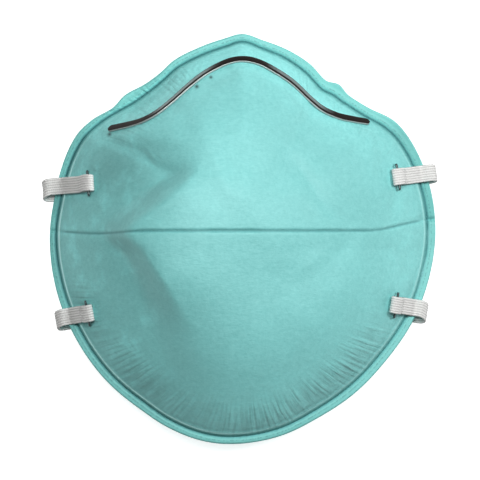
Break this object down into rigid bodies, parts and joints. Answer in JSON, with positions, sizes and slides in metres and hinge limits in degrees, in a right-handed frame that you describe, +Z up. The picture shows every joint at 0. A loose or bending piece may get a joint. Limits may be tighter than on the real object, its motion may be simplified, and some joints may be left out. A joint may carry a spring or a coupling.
{
  "type": "disposable respirator",
  "caption": "Moulded cup respirator with a welded rim, a mouth crease, a bell-shaped nose clip and two stapled elastic headbands, lying on its rim.",
  "frame": {"origin": "on the surface that the rim rests on, under the middle of the cup", "axes": "+Z up through the dome, +Y towards the nose, +X to the right as seen from above with the nose at the top"},
  "size_m": [0.1314, 0.1356, 0.0437],
  "materials": {
    "nonwoven": "matt",
    "elastic": "matt, ribbed",
    "aluminium": "worn satin",
    "staple_wire": "satin"
  },
  "bodies": {
    "root": {"cup_shell": "nonwoven", "nose_clip": "aluminium", "headband_upper": "elastic", "headband_lower": "elastic", "staple_upper_left": "staple_wire", "staple_upper_right": "staple_wire", "staple_lower_left": "staple_wire", "staple_lower_right": "staple_wire"}
  },
  "joints": []
}
